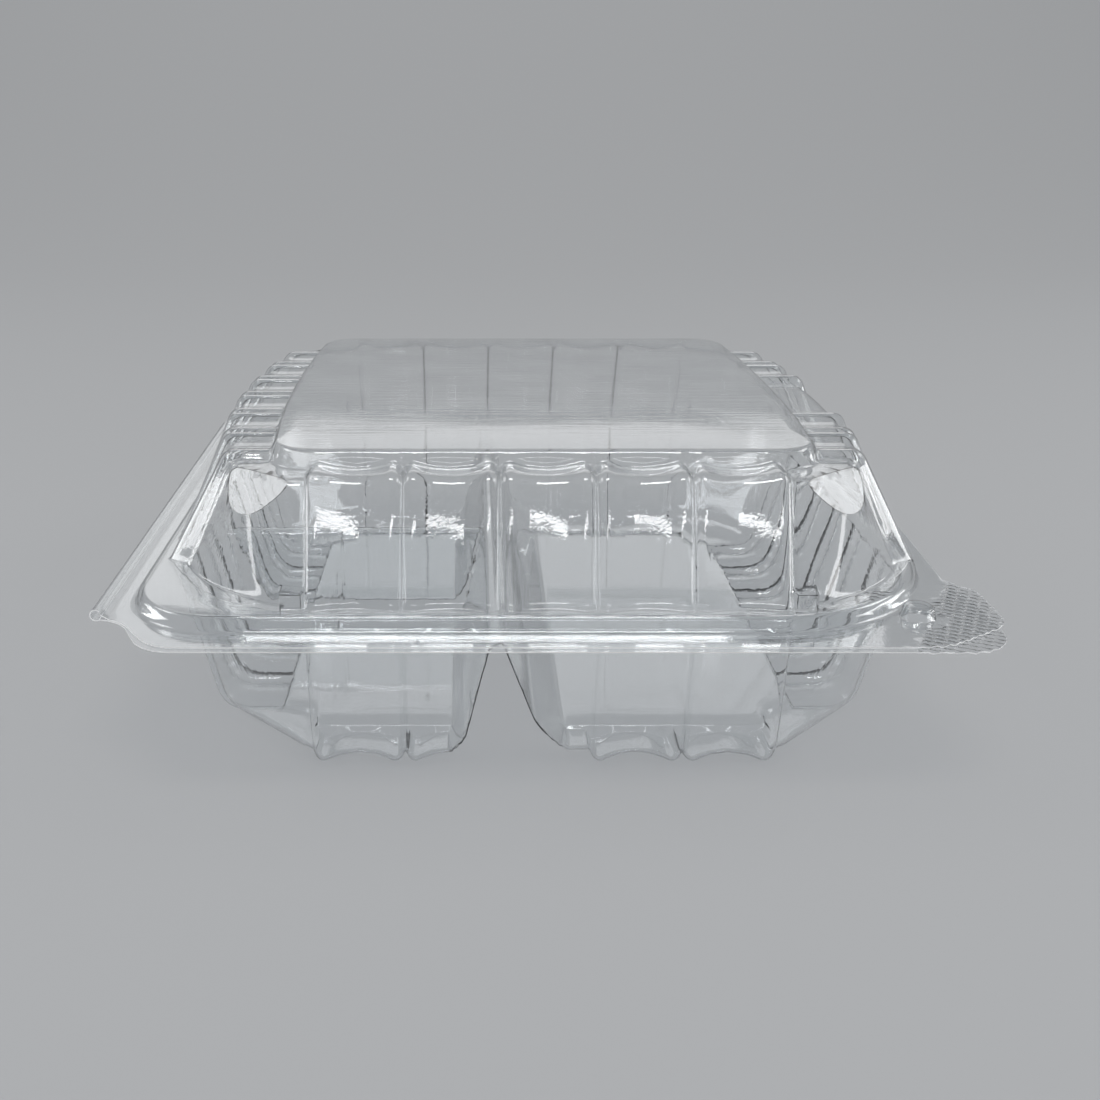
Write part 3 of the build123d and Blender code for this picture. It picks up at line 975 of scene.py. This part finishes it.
def pale_paper():
    """Matt paper with a glow for the rays that the camera sees, straight or by way of the sheet."""
    paper = bpy.data.materials.new("pale_paper")
    paper.use_nodes = True
    nodes, links = paper.node_tree.nodes, paper.node_tree.links
    shader = nodes["Principled BSDF"]
    shader.inputs["Base Color"].default_value = PAPER
    shader.inputs["Roughness"].default_value = 0.9
    shader.inputs["Emission Color"].default_value = PAPER_GLOW
    ray = nodes.new("ShaderNodeLightPath")
    glow = ray.outputs["Is Camera Ray"]
    for kind in ("Is Glossy Ray", "Is Transmission Ray"):
        either = nodes.new("ShaderNodeMath")
        either.operation = "MAXIMUM"
        links.new(glow, either.inputs[0])
        links.new(ray.outputs[kind], either.inputs[1])
        glow = either.outputs["Value"]
    dimmed = nodes.new("ShaderNodeMath")
    dimmed.operation = "MULTIPLY"
    dimmed.inputs[1].default_value = GLOW_STRENGTH
    links.new(glow, dimmed.inputs[0])
    links.new(dimmed.outputs["Value"], shader.inputs["Emission Strength"])
    return paper


floor = sweep_floor()
camera = bpy.data.objects.new("camera", bpy.data.cameras.new("camera"))
bpy.context.scene.collection.objects.link(camera)
bpy.context.scene.camera = camera
camera.data.sensor_width = SENSOR_WIDTH
camera.data.lens = FOCAL_PIXELS / IMAGE_WIDTH * SENSOR_WIDTH
camera.data.shift_x = SHIFT_PIXELS / IMAGE_WIDTH
camera.location = CAMERA_PLACE * MM
camera.rotation_euler = (math.radians(90 - CAMERA_PITCH), 0, 0)
camera.data.clip_start = 0.01
print("floor", len(floor.data.polygons), "faces, lens", round(camera.data.lens, 2))

# %% [markdown]
# ## Light
# Clear sheet is seen by what it mirrors, so each lamp stands where one part of the pack mirrors it
# to the camera: the overhead lamp in the shoulders of the ribs, the two high side lamps in the
# corner facets, the two low ones in the crests, the thin front lamp half way up the ribs, and the
# back lamp in the top panel. The side lamps are split in two, so that the panel doesn't mirror them
# as one white sheet when the pack is seen from the side. Light passes many walls, so the number of
# bounces is well above Blender's own.

# %% Light
PACK_MIDDLE = (0, 0, 0.05)
SKY = (0.8, 0.82, 0.85, 1)
SKY_STRENGTH = 0.42


def soft_lamp(name, place, aim, size, power):
    """An area lamp that looks at a point and isn't seen by the camera itself."""
    lamp = bpy.data.lights.new(name, "AREA")
    lamp.shape = "RECTANGLE"
    lamp.size, lamp.size_y = size
    lamp.energy = power
    holder = bpy.data.objects.new(name, lamp)
    bpy.context.scene.collection.objects.link(holder)
    holder.location = place
    away = np.array(aim) - np.array(place)
    holder.rotation_euler = Vector(away).to_track_quat("-Z", "Y").to_euler()
    holder.visible_camera = False
    return holder


soft_lamp("overhead", (0, -0.36, 1.0), PACK_MIDDLE, (0.5, 0.18), 3.0)
for side, turn, height in (("left", -1, 0.76), ("right", 1, 0.64)):
    soft_lamp(side + "_high", (turn * 0.85, 0.1, height), PACK_MIDDLE, (0.5, 0.3), 1.2)
    soft_lamp(side + "_low", (turn * 0.95, -0.15, 0.13), (0, -0.15, 0.13), (1.0, 0.12), 1.3)
soft_lamp("front", (0.05, -0.8, 0.46), (0, 0, 0.06), (0.5, 0.008), 0.1)
soft_lamp("back", (0, 1.9, 0.85), PACK_MIDDLE, (1.6, 0.5), 1.6)
world = bpy.data.worlds.new("studio")
bpy.context.scene.world = world
world.use_nodes = True
sky = world.node_tree.nodes["Background"]
sky.inputs["Color"].default_value = SKY
sky.inputs["Strength"].default_value = SKY_STRENGTH
cycles = bpy.context.scene.cycles
cycles.max_bounces = 16
cycles.transmission_bounces = 16
cycles.transparent_max_bounces = 12
cycles.glossy_bounces = 3
cycles.diffuse_bounces = 1
bpy.context.scene.view_settings.view_transform = "Standard"
